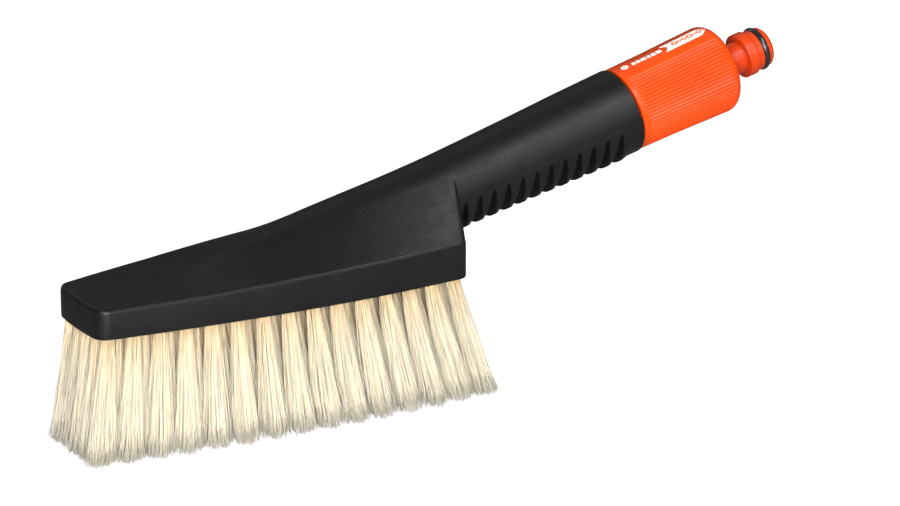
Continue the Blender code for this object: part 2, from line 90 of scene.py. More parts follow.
# Grip slots, each with an upright wall on the side of the hose end. They are wider and deeper than
# in the CAD part, and ribs stand out between them
SLOT_COUNT = 12
SLOT_PITCH = 6.2 * MM
FIRST_WALL = 7.1 * MM
SLOT_WIDTH = 4.5 * MM
SLOT_DEPTH = 2.3 * MM
SLOT_SHALLOW = 1.8 * MM
SLOT_REACH = math.radians(88.0)
SLOT_TAPER = math.radians(46.0)
RIB_LIFT = 0.8 * MM                 # how far the ribs between the slots stand out, underneath
SLOT_FADE = math.radians(9.0)       # the stretch over which its end comes up to the surface
SLOT_ENTRY = 0.45 * MM              # rounding at the side away from the wall
WALL_RUN = 0.08 * MM                # the upright wall's run along the handle
RIB_SIDE = math.radians(75.0)       # how far up each side the ribs stand out
RIB_FADE = math.radians(40.0)
RIB_RUN = 3.0 * MM                  # the stretch over which the first and last ribs rise
GRIP_START = -4.0 * MM
GRIP_STEP = 0.16 * MM
GRIP_LIP = 0.5 * MM                 # round at the grip's end

# Tufts
BRISTLE_LENGTH = 48.0 * MM
ROWS = 15
FIRST_ROW = 5.4 * MM
ROW_PITCH = 9.65 * MM
TUFT_EDGE_INSET = 3.8 * MM
NOSE_LEAN = -4.7 * MM
REAR_LEAN = 13.2 * MM
SIDE_SPLAY = 1.0 * MM
STRANDS = 250                       # in one tuft
STRAND_RADIUS = 0.13 * MM
TUFTS_ACROSS = 5
STRAND_STEPS = 6
INNER_SHARE = 0.75                  # tufts inside this share of the width are the inner ones, coloured tan as painted shade
LOOSENESS = 0.13                    # spread of the tips, as a share of the tuft's own
STRAY_LOOSENESS = 4.0
BOW = 0.28 * MM
HOOK = 0.5 * MM
SHORTNESS = 0.016                   # spread of the strands' lengths
TUFT_ROOT = 2.3 * MM
STRAY_SHARE = 0.012                 # share of the strands that stand well out of their tuft
TUFT_TIP = 5.2 * MM

# Sleeve, hose end and inner parts, along the handle axis from the head's rear. The sleeve's far
# end, the collar and the nipple lie 0.9 to 1.5 mm further out than in the CAD part, and the sleeve
# has finer flutes
SLEEVE_START = 85.3 * MM
SLEEVE_END = 130.3 * MM
SLEEVE_PROFILE = [                  # place and radius, in millimetres
    (85.3, 16.1), (93.0, 16.25), (102.0, 16.4), (111.0, 16.7), (120.0, 17.0), (130.3, 17.3)]
SLEEVE_ROUND = 4.5 * MM
FLUTES = 72
FLUTE_DEPTH = 0.46 * MM
PLAIN_BAND = 1.8 * MM
FLUTE_FADE = 1.0 * MM
FLUTE_END = 1.2 * MM                # from the sleeve's end
FLUTE_END_FADE = 2.5 * MM
STRIP_HALF = math.radians(24.0)     # half the smooth strip along the sleeve's top
STRIP_FADE = math.radians(2.0)
SLEEVE_BORE = 12.8 * MM
SLEEVE_MOUTH = 8.6 * MM
SLEEVE_RIM = 2.6 * MM
COLLAR_RADIUS = 8.6 * MM
BARREL_RADIUS = 7.9 * MM
NECK_RADIUS = 6.3 * MM
NIPPLE_BORE = 4.7 * MM
COLLAR_START = 139.6 * MM
COLLAR_END = 143.6 * MM
RING_START = 146.5 * MM
RING_END = 149.0 * MM
NIPPLE_END = 151.5 * MM
CHAMBER_RADIUS = 6.2 * MM
CHAMBER_WALL = 1.5 * MM
CHAMBER_START = -12.0 * MM
CHAMBER_END = 80.0 * MM
STICK_RADIUS = 4.5 * MM
STICK_LENGTH = 58.0 * MM
SPIGOT_START = 72.0 * MM
SPIGOT_GROOVE = (74.0 * MM, 76.5 * MM)
SPIGOT_BORE = 3.6 * MM
BORE_WIDENS = (92.0 * MM, 93.0 * MM)
FLANGE_RADIUS = 11.4 * MM
STEM_RADIUS = 9.6 * MM
STEM_WALL = 1.4 * MM
PISTON_START = 99.0 * MM
PISTON_END = 112.0 * MM
PISTON_GROOVE = (104.0 * MM, 106.0 * MM)
PISTON_GROOVE_DEPTH = 1.2 * MM
PISTON_NOSE = 3.0 * MM              # length and radius of its tapered nose
PISTON_NOSE_RADIUS = 2.2 * MM
PISTON_BORE = 1.2 * MM

RING_RADIUS = 8.5 * MM              # of the nipple's O-ring, outside
RING_SECTION = 1.3 * MM
SPIGOT_RING_SECTION = 0.55 * MM
PISTON_RING_SECTION = 0.5 * MM

# Printed marks on the sleeve. Turns run from straight down, so half a turn is the top
PRINT_MIDDLE = math.radians(182.0)
PRINT_HALF = math.radians(9.5)
DASH_SHARE = 0.42                   # of the flag's width
INK = 0.03 * MM
INK_LIFT = 0.05 * MM
DOT_PLACE = 90.0 * MM
DASHES_START = 93.2 * MM
DASHES = (1.5, 1.5, 2.3, 1.5, 1.5, 2.3)             # lengths in millimetres
DASH_GAP = 0.55
FLAG_START = 107.4 * MM
FLAG_NOTCH = 2.2 * MM
FLAG_END = 127.4 * MM
FLAG_POINT = 3.4 * MM
DROPS_START = 111.6
DROPS = (1.35, 0.75, 1.1, 1.35, 0.75, 1.1, 0.8)     # radii in millimetres
DROP_GAP = 0.15
DROP_HOLE = 0.45                    # share of the drop's radius

# Camera
VIEW_TURN = math.radians(30.54)
VIEW_RISE = math.radians(19.72)
VIEW_DISTANCE = 1.7
PIVOT_PLACE = 140.0 * MM            # from the nose
PIVOT_HEIGHT = 68.0 * MM
AIM_RIGHT = 12.13 * MM
AIM_DOWN = 17.18 * MM
LENS = 185.35                       # in millimetres, as is the sensor
SENSOR_WIDTH = 36.0

# Fineness of the meshes
ROUND_STEPS = 96
HEAD_STEPS = 60
END_STEPS = 12
FOOT_STEPS = 5
CREASE_STEPS = 8
FLANK_STEPS = 8
CROWN_STEPS = 16
HANDLE_STATIONS = 40
HANDLE_STEPS = 128
GRIP_OUTER_STEPS = 126
GRIP_INNER_STEPS = 40
FLUTE_STEPS = 10

# Places, from the frame
HEAD = Vector((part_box("body_shell")[0].x, 0.0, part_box("body_shell")[0].z))
AXIS_START = HEAD + Vector((HEAD_LENGTH, 0.0, AXIS_HEIGHT))
ALONG = Vector((math.cos(AXIS_SLOPE), 0.0, math.sin(AXIS_SLOPE)))
DOWN = Vector((math.sin(AXIS_SLOPE), 0.0, -math.cos(AXIS_SLOPE)))


# ---------------------------------------------------------------- material helpers

def srgb(red, green, blue):
    """Linear colour from 0 to 255 screen values."""
    out = []
    for value in (red, green, blue):
        share = value / 255.0
        out.append(share / 12.92 if share <= 0.04045 else ((share + 0.055) / 1.055) ** 2.4)
    return (*out, 1.0)


class Paint:
    """A node material being built round one Principled shader."""

    def __init__(self, name, roughness=0.4, specular=0.5, metallic=0.0):
        self.made = bpy.data.materials.new(name)
        self.made.use_nodes = True
        self.tree = self.made.node_tree
        self.shader = self.tree.nodes["Principled BSDF"]
        self.shader.inputs["Roughness"].default_value = roughness
        self.shader.inputs["Specular IOR Level"].default_value = specular
        self.shader.inputs["Metallic"].default_value = metallic
        coordinates = self.tree.nodes.new("ShaderNodeTexCoord")
        self.place = coordinates.outputs["Object"]

    def node(self, kind, **values):
        made = self.tree.nodes.new(kind)
        for key, value in values.items():
            setattr(made, key, value)
        return made

    def link(self, start, end):
        self.tree.links.new(start, end)

    def stretched(self, x, y, z):
        """Object coordinates with each axis scaled."""
        mapping = self.node("ShaderNodeMapping")
        mapping.inputs["Scale"].default_value = (x, y, z)
        self.link(self.place, mapping.inputs["Vector"])
        return mapping.outputs["Vector"]

    def noise(self, scale, detail=3.0, roughness=0.5, vector=None):
        made = self.node("ShaderNodeTexNoise")
        made.inputs["Scale"].default_value = scale
        made.inputs["Detail"].default_value = detail
        made.inputs["Roughness"].default_value = roughness
        self.link(vector or self.place, made.inputs["Vector"])
        return made.outputs["Fac"]

    def ramp(self, factor, stops):
        made = self.node("ShaderNodeValToRGB")
        ends = made.color_ramp.elements
        while len(ends) < len(stops):
            ends.new(0.5)
        for element, (place, colour) in zip(ends, stops):
            element.position = place
            element.color = colour
        self.link(factor, made.inputs["Fac"])
        return made.outputs["Color"]

    def spread(self, factor, low, high, start=0.3, end=0.7):
        """A number from low to high as factor goes from start to end."""
        made = self.node("ShaderNodeMapRange")
        made.inputs["From Min"].default_value = start
        made.inputs["From Max"].default_value = end
        made.inputs["To Min"].default_value = low
        made.inputs["To Max"].default_value = high
        self.link(factor, made.inputs["Value"])
        return made.outputs["Result"]

    def mix(self, factor, first, second, blend="MIX"):
        made = self.node("ShaderNodeMix", data_type="RGBA", blend_type=blend)
        for socket, value in ((made.inputs[0], factor), (made.inputs[6], first), (made.inputs[7], second)):
            if isinstance(value, (float, int, tuple)):
                socket.default_value = value
            else:
                self.link(value, socket)
        return made.outputs[2]

    def colour(self, output):
        self.link(output, self.shader.inputs["Base Color"])

    def rough(self, output):
        self.link(output, self.shader.inputs["Roughness"])

    def bump(self, height, strength, distance, before=None):
        made = self.node("ShaderNodeBump")
        made.inputs["Strength"].default_value = strength
        made.inputs["Distance"].default_value = distance
        self.link(height, made.inputs["Height"])
        if before:
            self.link(before, made.inputs["Normal"])
        self.link(made.outputs["Normal"], self.shader.inputs["Normal"])
        return made.outputs["Normal"]


def moulded(name, dark, light, roughness):
    """Moulded plastic: slight colour drift, uneven gloss and a fine surface grain."""
    paint = Paint(name)
    drift = paint.noise(45.0, 4.0, 0.6)
    paint.colour(paint.ramp(drift, [(0.3, dark), (0.7, light)]))
    paint.rough(paint.spread(paint.noise(160.0, 5.0, 0.65), *roughness))
    paint.bump(paint.noise(1400.0, 2.0, 0.5), 0.16, 0.12 * MM)
    return paint.made


def black_plastic():
    """Satin black: blown shell with soft waves in its surface and faint scuffs."""
    paint = Paint("black_shell_plastic", specular=0.25)
    drift = paint.noise(38.0, 5.0, 0.62)
    base = paint.ramp(drift, [(0.3, srgb(8, 8, 9)), (0.72, srgb(13, 13, 13))])
    scuffs = paint.noise(900.0, 3.0, 0.7, paint.stretched(0.25, 1.0, 1.0))
    faint = paint.spread(scuffs, 0.0, 0.35, 0.66, 0.78)
    paint.colour(paint.mix(faint, base, srgb(34, 34, 36)))
    paint.rough(paint.spread(paint.noise(140.0, 5.0, 0.7), 0.42, 0.56))
    waves = paint.bump(paint.noise(75.0, 2.0, 0.45), 0.22, 1.2 * MM)
    paint.bump(paint.noise(1500.0, 2.0, 0.5), 0.6, 0.15 * MM, waves)
    return paint.made


def grip_plastic():
    """Satin black of the lower shell, a little rougher."""
    paint = Paint("black_grip_plastic", specular=0.22)
    drift = paint.noise(60.0, 5.0, 0.6)
    paint.colour(paint.ramp(drift, [(0.3, srgb(10, 10, 11)), (0.72, srgb(17, 17, 18))]))
    paint.rough(paint.spread(paint.noise(180.0, 5.0, 0.7), 0.42, 0.56))
    waves = paint.bump(paint.noise(110.0, 2.0, 0.45), 0.12, 0.8 * MM)
    paint.bump(paint.noise(1700.0, 2.0, 0.5), 0.22, 0.1 * MM, waves)
    return paint.made


def orange_plastic(name, deep, bright):
    """Semi-gloss orange with slight flow marks along the moulding."""
    paint = Paint(name, specular=0.2)
    flow = paint.noise(55.0, 4.0, 0.55, paint.stretched(0.35, 1.0, 1.0))
    paint.colour(paint.ramp(flow, [(0.25, deep), (0.75, bright)]))
    paint.rough(paint.spread(paint.noise(260.0, 4.0, 0.6), 0.3, 0.42))
    paint.shader.inputs["Subsurface Weight"].default_value = 0.04
    paint.shader.inputs["Subsurface Radius"].default_value = (0.004, 0.0012, 0.0006)
    paint.shader.inputs["Subsurface Scale"].default_value = 0.5
    paint.bump(paint.noise(1300.0, 2.0, 0.5), 0.1, 0.1 * MM)
    return paint.made


def bristle_fibre():
    """Cream fibre: each strand has a random colour of its own, with the inner tufts pulled to tan as
    painted shade, and painted shade deepens it to tan towards the root.
    """
    paint = Paint("bristle_fibre", roughness=0.42, specular=0.35)
    along = paint.node("ShaderNodeAttribute", attribute_name="along").outputs["Fac"]
    tint_and_inner_shade = paint.node("ShaderNodeAttribute", attribute_name="tint_and_inner_shade").outputs["Fac"]
    # Painted shade: the strands turn tan towards the root, where the head shades them.
    length = paint.ramp(along, [
        (0.0, srgb(234, 204, 150)), (0.12, srgb(248, 232, 196)),
        (0.4, srgb(254, 247, 226)), (1.0, srgb(255, 250, 236))])
    # Each strand's own random colour, with the inner tufts pulled towards tan as painted shade.
    strands = paint.ramp(tint_and_inner_shade, [
        (0.0, srgb(210, 170, 110)), (0.4, srgb(254, 248, 236)), (1.0, srgb(255, 254, 248))])
    body = paint.mix(0.8, length, strands, "MULTIPLY")
    streaks = paint.noise(2200.0, 2.0, 0.5, paint.stretched(1.0, 1.0, 0.06))
    paint.colour(paint.mix(paint.spread(streaks, 0.0, 0.2), body, srgb(226, 206, 164)))
    paint.rough(paint.spread(streaks, 0.36, 0.52))
    paint.shader.inputs["Subsurface Weight"].default_value = 0.5
    paint.shader.inputs["Subsurface Radius"].default_value = (0.004, 0.0034, 0.0026)
    paint.shader.inputs["Subsurface Scale"].default_value = 1.0
    paint.bump(streaks, 0.15, 0.05 * MM)
    return paint.made


def rubber():
    """Black seal rubber, smooth and slightly glossy."""
    paint = Paint("seal_rubber_black", specular=0.6)
    paint.colour(paint.ramp(paint.noise(120.0, 4.0), [(0.3, srgb(14, 14, 14)), (0.7, srgb(26, 26, 27))]))
    paint.rough(paint.spread(paint.noise(400.0, 4.0, 0.6), 0.2, 0.36))
    paint.bump(paint.noise(1200.0, 2.0), 0.08, 0.05 * MM)
    return paint.made


def steel():
    """Pressed steel with fine lines along it."""
    paint = Paint("strainer_steel_pressed", metallic=1.0)
    lines = paint.noise(800.0, 3.0, 0.6, paint.stretched(0.1, 1.0, 1.0))
    paint.colour(paint.ramp(lines, [(0.3, srgb(165, 166, 168)), (0.7, srgb(205, 206, 208))]))
    paint.rough(paint.spread(lines, 0.22, 0.4))
    paint.bump(lines, 0.08, 0.05 * MM)
    return paint.made


def soap():
    """Pressed shampoo: matt, slightly mottled orange with a crumbly surface."""
    paint = Paint("shampoo_soap_pressed", specular=0.25)
    specks = paint.noise(500.0, 6.0, 0.7)
    paint.colour(paint.ramp(specks, [
        (0.3, srgb(214, 82, 28)), (0.55, srgb(236, 110, 48)), (0.8, srgb(248, 150, 90))]))
    paint.rough(paint.spread(specks, 0.6, 0.8))
    paint.bump(specks, 0.4, 0.2 * MM)
    return paint.made


def print_ink(name, deep, bright):
    """Pad-printed ink: slightly uneven cover."""
    paint = Paint(name, specular=0.4)
    cover = paint.noise(900.0, 4.0, 0.65)
    paint.colour(paint.ramp(cover, [(0.28, deep), (0.5, bright)]))
    paint.rough(paint.spread(cover, 0.35, 0.5))
    paint.bump(cover, 0.05, 0.03 * MM)
    return paint.made


# ---------------------------------------------------------------- mesh helpers

def new_object(name, mesh, paint):
    """Object of this mesh with one material, linked to the scene."""
    made = bpy.data.objects.new(name, mesh)
    bpy.context.scene.collection.objects.link(made)
    mesh.materials.append(paint)
    return made


def smooth(mesh, degrees):
    """Shade smoothly, apart from edges sharper than this."""
    mesh.shade_smooth()
    mesh.set_sharp_from_angle(angle=math.radians(degrees))


def grid_mesh(name, points, loop=False):
    """Closed mesh through rows of points, each row closed on itself. A loop joins the last row to
    the first, and otherwise a cap closes each end."""
    rows, count = points.shape[:2]
    index = np.arange(rows * count).reshape(rows, count)
    first = index if loop else index[:-1]
    second = np.roll(index, -1, axis=0) if loop else index[1:]
    quads = np.stack([first, np.roll(first, -1, axis=1), np.roll(second, -1, axis=1), second], axis=-1)
    faces = quads.reshape(-1, 4).tolist()
    if not loop:
        faces.append(index[0][::-1].tolist())
        faces.append(index[-1].tolist())
    mesh = bpy.data.meshes.new(name)
    mesh.from_pydata(points.reshape(-1, 3).tolist(), [], faces)
    work = bmesh.new()
    work.from_mesh(mesh)
    bmesh.ops.remove_doubles(work, verts=work.verts, dist=1e-7)
    bmesh.ops.recalc_face_normals(work, faces=work.faces)
    work.to_mesh(mesh)
    work.free()
    return mesh


def on_axis(radius, turn, place):
    """Points in the row frame from radius, turn from straight down, and place along the handle."""
    radius, turn, place = np.broadcast_arrays(radius, turn, place)
    start, along, down = (np.array(v) for v in (AXIS_START, ALONG, DOWN))
    side = np.array((0.0, 1.0, 0.0))
    return (start + place[..., None] * along + (radius * np.cos(turn))[..., None] * down
            + (radius * np.sin(turn))[..., None] * side)


def rounded(profile, radius):
    """The closed profile with each corner replaced by an arc of about this radius."""
    out = []
    steps = 5
    count = len(profile)
    for i in range(count):
        before, corner, after = (np.array(profile[(i + k) % count]) for k in (-1, 0, 1))
        back = before - corner
        forth = after - corner
        reach = min(radius, 0.45 * np.linalg.norm(back), 0.45 * np.linalg.norm(forth))
        if reach < 1e-6 or corner[0] < 1e-7:
            out.append(tuple(corner))
            continue
        start = corner + back / np.linalg.norm(back) * reach
        end = corner + forth / np.linalg.norm(forth) * reach
        for k in range(steps + 1):
            t = k / steps
            point = (1 - t) ** 2 * start + 2 * t * (1 - t) * corner + t ** 2 * end
            out.append(tuple(point))
    return out


def turned(name, profile, paint, radius=0.25 * MM):
    """A closed profile of (radius, place) turned about the handle axis, its corners rounded."""
    outline = np.array(rounded(profile, radius) if radius else profile)
    turns = np.linspace(0.0, 2 * math.pi, ROUND_STEPS, endpoint=False)
    points = on_axis(outline[:, 0][None, :], turns[:, None], outline[:, 1][None, :])
    mesh = grid_mesh(name, points, loop=True)
    smooth(mesh, 30.0)
    return new_object(name, mesh, paint)


def o_ring(name, middle, place, thickness, paint):
    """Ring of round section: its middle radius, its place and the radius of its section."""
    angles = np.linspace(0.0, 2 * math.pi, 24, endpoint=False)
    profile = [(middle + thickness * math.cos(a), place + thickness * math.sin(a)) for a in angles]
    return turned(name, profile, paint, radius=0.0)


def finish_piece(piece, body, slot, *nodes):
    """Say which body the piece rides on, and hide the CAD nodes it stands for; the slot argument is not
    used.
    """
    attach(piece, body)
    if nodes:
        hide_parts(*nodes)
    return piece


# ---------------------------------------------------------------- head and upper handle

def half_width(x):
    """Half the head's width at x, a smooth curve through HALF_WIDTHS."""
    spans = len(HALF_WIDTHS) - 1
    place = min(max(x / HEAD_LENGTH, 0.0), 1.0) * spans
    index = min(int(place), spans - 1)
    t = place - index
    before = HALF_WIDTHS[max(index - 1, 0)]
    start = HALF_WIDTHS[index]
    end = HALF_WIDTHS[index + 1]
    after = HALF_WIDTHS[min(index + 2, spans)]
    if index == 0:
        before = 2 * start - end
    return 0.5 * (2 * start + (end - before) * t + (2 * before - 5 * start + 4 * end - after) * t * t
                  + (3 * start - before - 3 * end + after) * t ** 3)


def corner_loss(distance, radius):
    """How much an outline loses at this distance from an end with rounded corners."""
    if distance >= radius:
        return 0.0
    return radius - math.sqrt(max(radius ** 2 - (radius - distance) ** 2, 0.0))


def nose_bow(x, y, start):
    """How far a point near the nose sits back from the nose's middle."""
    return NOSE_BOW * (y / half_width(0.0)) ** 2 * max(1.0 - (x - start) / (20 * MM), 0.0)


def crown_swell(x):
    """How far the crown rises above a straight line, from nothing near the nose and at the rear."""
    share = min(max((x / HEAD_LENGTH - SWELL_START) / SWELL_RUN, 0.0), 1.0)
    return CROWN_SWELL * math.sin(math.pi * share) ** 2


def wall_height(x):
    """Height of the head's side wall, which rises towards the rear."""
    return WALL_NOSE + (WALL_REAR - WALL_NOSE) * x / HEAD_LENGTH


def rear_tilt(x, z):
    """How far a point above the side wall leans back, growing from nothing to the rear face."""
    above = max(z - wall_height(x), 0.0)
    return REAR_TILT * above * max((x / HEAD_LENGTH - TILT_START) / (1.0 - TILT_START), 0.0)


def head_stations(inset):
    """Stations along the head, close together where the ends round off."""
    start = inset
    end = HEAD_LENGTH - inset
    radius = CORNER_RADIUS - min(inset, CORNER_RADIUS * 0.5)
    near = [1.0 - math.cos(0.5 * math.pi * i / END_STEPS) for i in range(END_STEPS + 1)]
    stations = [start + radius * t for t in near]
    run = end - start - 2 * radius
    stations += [start + radius + run * i / HEAD_STEPS for i in range(1, HEAD_STEPS)]
    stations += [end - radius * t for t in reversed(near)]
    return stations, start, end, radius


def head_section(x, start, end, radius, inset, floor):
    """Outline of the head across x: floor, rounded foot, side wall, crease, flank against the
    handle's circle, and crown."""
    plan_loss = max(corner_loss(x - start, radius), corner_loss(end - x, radius))
    nose_loss = corner_loss(x - start, NOSE_ROUND)
    rear_loss = corner_loss(end - x, REAR_ROUND)
    width = half_width(x) - inset - plan_loss
    height = wall_height(x) - inset - nose_loss - 0.5 * rear_loss
    centre = AXIS_HEIGHT + (x - HEAD_LENGTH) * math.tan(AXIS_SLOPE)
    circle = (handle_radius(0.0) - inset + crown_swell(x)) / math.cos(AXIS_SLOPE) - rear_loss
    reach = math.hypot(width, height - centre)
    slope = math.asin(min(circle / reach, 0.999)) - math.atan2(height - centre, width)
    slope = max(slope, LEAST_SLOPE)
    fillet = max(CREASE_RADIUS - 0.5 * inset, 0.6 * MM)
    turn = math.pi / 2 - slope
    drop = fillet * math.tan(turn / 2)
    foot = FOOT_ROUND if inset == 0.0 else 0.1 * MM
    points = [(0.0, floor), (0.5 * width, floor)]
    for i in range(FOOT_STEPS + 1):
        angle = 0.5 * math.pi * i / FOOT_STEPS
        points.append((width - foot + foot * math.sin(angle), floor + foot - foot * math.cos(angle)))
    for i in range(CREASE_STEPS + 1):
        angle = turn * i / CREASE_STEPS
        points.append((width - fillet + fillet * math.cos(angle), height - drop + fillet * math.sin(angle)))
    line_y = width - fillet + fillet * math.cos(turn)
    line_z = height - drop + fillet * math.sin(turn)
    touch_y = min(circle * math.sin(slope), 0.7 * line_y)
    touch_z = line_z + (line_y - touch_y) * math.tan(slope)
    crown = touch_y * math.tan(slope / 2)
    for i in range(1, FLANK_STEPS):
        t = i / FLANK_STEPS
        points.append((line_y + (touch_y - line_y) * t, line_z + (touch_z - line_z) * t))
    arc_radius = touch_y / math.sin(slope)
    for i in range(CROWN_STEPS):
        angle = slope * (1 - i / CROWN_STEPS)
        points.append((arc_radius * math.sin(angle), touch_z + crown - arc_radius * (1 - math.cos(angle))))
    points.append((0.0, touch_z + crown))
    mirrored = [(-y, z) for y, z in reversed(points[1:-1])]
    return points + mirrored


def head_loft(name, inset, floor):
    """The head as one closed solid, moved in by inset. Where it leans back, it rises as the handle
    does, so that the crown stays on the handle."""
    stations, start, end, radius = head_stations(inset)
    rows = []
    for x in stations:
        section = head_section(x, start, end, radius, inset, floor)
        rows.append([
            (HEAD.x + x + nose_bow(x, y, start) + rear_tilt(x, z), y,
             HEAD.z + z + rear_tilt(x, z) * math.tan(AXIS_SLOPE)) for y, z in section])
    return grid_mesh(name, np.array(rows))


def handle_radius(s):
    """Outer radius of the handle: it grows towards the sleeve, with a slight waist near the head."""
    waist = WAIST * np.clip(1 - ((s - WAIST_PLACE) / WAIST_REACH) ** 2, 0.0, 1.0)
    return ROOT_RADIUS + (END_RADIUS - ROOT_RADIUS) * np.maximum(s, 0.0) / HANDLE_LENGTH - waist


def handle_solid(name, start, end, inset, sink=0.0):
    """Round solid handle. Inside the head it is thinner by sink, so that the head's crown shows."""
    places = np.linspace(start, end, HANDLE_STATIONS)
    radius = handle_radius(places) - inset - sink * np.clip((SINK_END - places) / SINK_RUN, 0.0, 1.0)
    turns = np.linspace(0.0, 2 * math.pi, HANDLE_STEPS, endpoint=False)
    return grid_mesh(name, on_axis(radius[:, None], turns[None, :], places[:, None]))


def block(name, low, high):
    """Box in handle terms: how far below the axis, sideways, and along it."""
    corners = []
    for s in (low[2], high[2]):
        ring = []
        for x, y in ((low[0], low[1]), (high[0], low[1]), (high[0], high[1]), (low[0], high[1])):
            ring.append(tuple(AXIS_START + ALONG * s + DOWN * x + Vector((0.0, y, 0.0))))
        corners.append(ring)
    return grid_mesh(name, np.array(corners))


def cut(obj, mesh, operation="DIFFERENCE"):
    """Apply one exact Boolean of this mesh to the object."""
    other = bpy.data.objects.new("cutter", mesh)
    bpy.context.scene.collection.objects.link(other)
    modifier = obj.modifiers.new("cut", "BOOLEAN")
    modifier.operation = operation
    modifier.solver = "EXACT"
    modifier.object = other
    graph = bpy.context.evaluated_depsgraph_get()
    made = bpy.data.meshes.new_from_object(obj.evaluated_get(graph))
    obj.modifiers.clear()
    obj.data = made
    bpy.data.objects.remove(other)


def make_body(paint):
    """The hollow head and the upper half of the handle in one piece, open underneath."""
    body = new_object("head_and_handle", head_loft("head_and_handle", 0.0, 0.0), paint)
    upper_mesh = handle_solid("handle_outside", -9 * MM, HANDLE_LENGTH, 0.0, SINK)
    upper = new_object("handle_outside", upper_mesh, paint)
    side = 30 * MM
    low = (-PARTING_HEIGHT, -side, GRIP_START)
    high = (40 * MM, side, HANDLE_LENGTH + 56 * MM)
    cut(upper, block("below_parting", low, high))
    cut(body, upper.data, "UNION")
    bpy.data.objects.remove(upper)
    cut(body, head_loft("head_inside", SHELL_WALL, -2 * MM))
    cut(body, handle_solid("handle_inside", -20 * MM, HANDLE_LENGTH + 4 * MM, SHELL_WALL))
    smooth(body.data, 28.0)
    return finish_piece(body, "handle", "black_plastic", "body_shell")


def slot_depth(place, turn):
    """How deep the grip is cut here: slots with an upright wall on the side of the hose end."""
    left = SLOT_REACH - np.abs(turn)
    width = SLOT_WIDTH * np.clip(left / SLOT_TAPER, 0.0, 1.0) ** 0.5
    fade = np.clip(left / SLOT_FADE, 0.0, 1.0)
    depth = np.zeros(np.broadcast(place, turn).shape)
    for index in range(SLOT_COUNT):
        wall = FIRST_WALL + SLOT_PITCH * index
        share = (place - (wall - width)) / np.maximum(width, 0.05 * MM)
        inside = (share > 0.0) & (place <= wall) & (left > 0.0)
        floor = SLOT_SHALLOW + (SLOT_DEPTH - SLOT_SHALLOW) * np.clip(share, 0.0, 1.0)
        entry = np.clip((share * width) / SLOT_ENTRY, 0.0, 1.0)
        depth = np.where(inside, floor * fade * entry * entry * (3 - 2 * entry), depth)
    return depth


def make_grip(paint):
    """The lower half of the handle, slotted and ribbed underneath."""
    end = HANDLE_LENGTH + GRIP_TAB
    fine = np.arange(GRIP_START, end - 0.6 * MM, GRIP_STEP)
    walls = [FIRST_WALL + SLOT_PITCH * i for i in range(SLOT_COUNT)]
    places = np.array(sorted([*fine, *walls, *(w + WALL_RUN for w in walls)]))
    quarter = np.linspace(0.0, 0.5 * math.pi, 6)
    places = np.concatenate([places, end - GRIP_LIP + GRIP_LIP * np.sin(quarter)])
    shrink = np.zeros(len(places))
    shrink[-len(quarter):] = GRIP_LIP * (1 - np.cos(quarter))
    radius = handle_radius(places) - shrink
    reach = 0.5 * math.pi + np.arcsin((PARTING_HEIGHT - PARTING_GAP) / radius)
    share = np.linspace(-1.0, 1.0, GRIP_OUTER_STEPS)
    turns = share[None, :] * reach[:, None]
    under = np.clip((RIB_SIDE - np.abs(turns)) / RIB_FADE, 0.0, 1.0)
    last_rib = walls[-1] + 4 * MM
    ribbed = np.clip(places / RIB_RUN, 0.0, 1.0) * np.clip((last_rib - places) / RIB_RUN, 0.0, 1.0)
    lift = RIB_LIFT * under * ribbed[:, None]
    outside = radius[:, None] + lift - slot_depth(places[:, None], turns)
    inner_radius = np.minimum(handle_radius(places) - SHELL_WALL, radius - 0.5 * MM)
    inner_reach = 0.5 * math.pi + np.arcsin((PARTING_HEIGHT - PARTING_GAP) / inner_radius)
    inner_turns = np.linspace(1.0, -1.0, GRIP_INNER_STEPS)[None, :] * inner_reach[:, None]
    outer = on_axis(outside, turns, places[:, None])
    inner = on_axis(inner_radius[:, None], inner_turns, places[:, None])
    mesh = grid_mesh("grip_half", np.concatenate([outer, inner], axis=1))
    smooth(mesh, 32.0)
    return finish_piece(new_object("grip_half", mesh, paint), "handle", "grip_plastic", "grip_shell")


# ---------------------------------------------------------------- bristles

